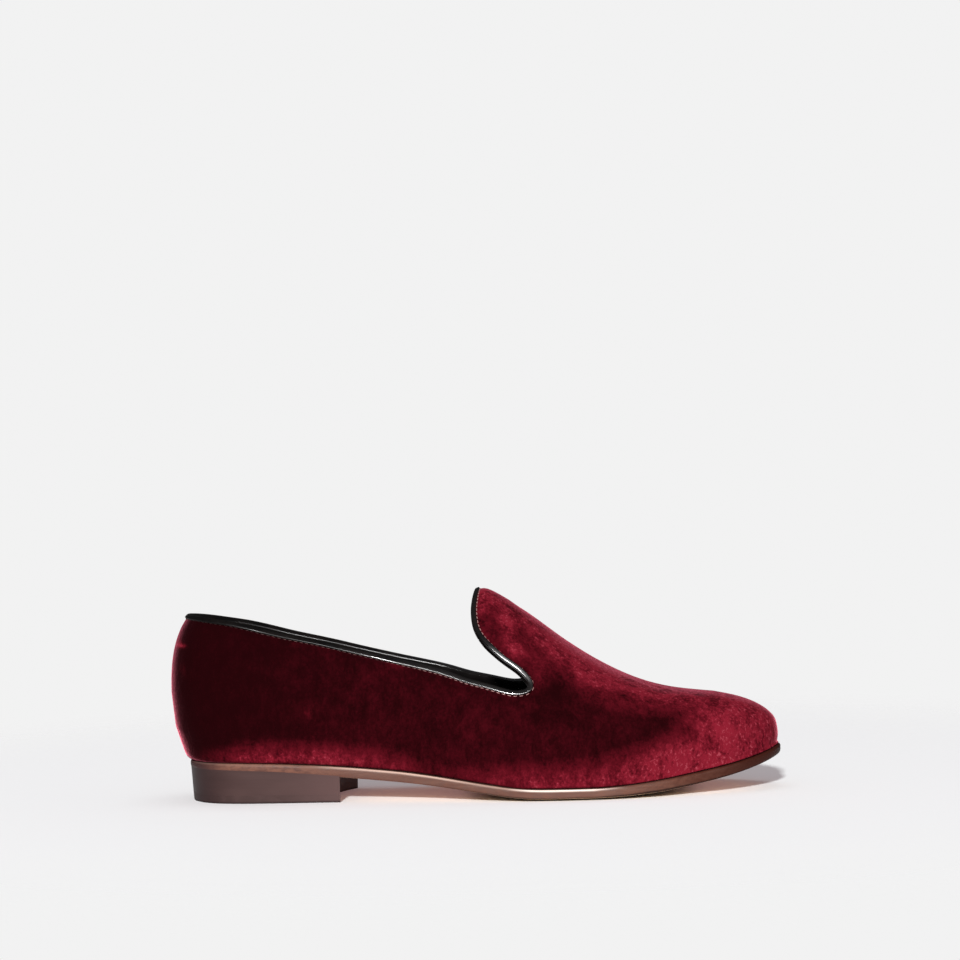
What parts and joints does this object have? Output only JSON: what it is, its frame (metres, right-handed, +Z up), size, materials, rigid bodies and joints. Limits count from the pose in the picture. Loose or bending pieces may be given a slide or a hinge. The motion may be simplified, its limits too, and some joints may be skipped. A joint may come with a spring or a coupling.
{
  "type": "velvet loafer",
  "caption": "Velvet slip-on loafer with a raised tongue, leather-bound topline, slim leather sole and low stacked heel.",
  "frame": {"origin": "on the floor, in the middle of the heel's top piece underside", "axes": "+X to the toe, +Y to the inner (medial) side of the foot, +Z up; the floor is z = 0"},
  "size_m": [0.2556, 0.0819, 0.0861],
  "materials": {
    "velvet": "dense burgundy pile, brighter where the nap leans to the light",
    "binding_leather": "polished black calf",
    "lining_leather": "matte dark lining leather",
    "sole_leather": "waxed tan leather, darker toward the toe",
    "stacked_leather": "waxed brown stacked leather, semi-matte",
    "top_piece_rubber": "matte brown rubber"
  },
  "bodies": {
    "root": {"upper": "velvet", "binding": "binding_leather", "insole": "lining_leather", "outsole": "sole_leather", "heel": "stacked_leather", "heel_top_piece": "top_piece_rubber"}
  },
  "joints": []
}
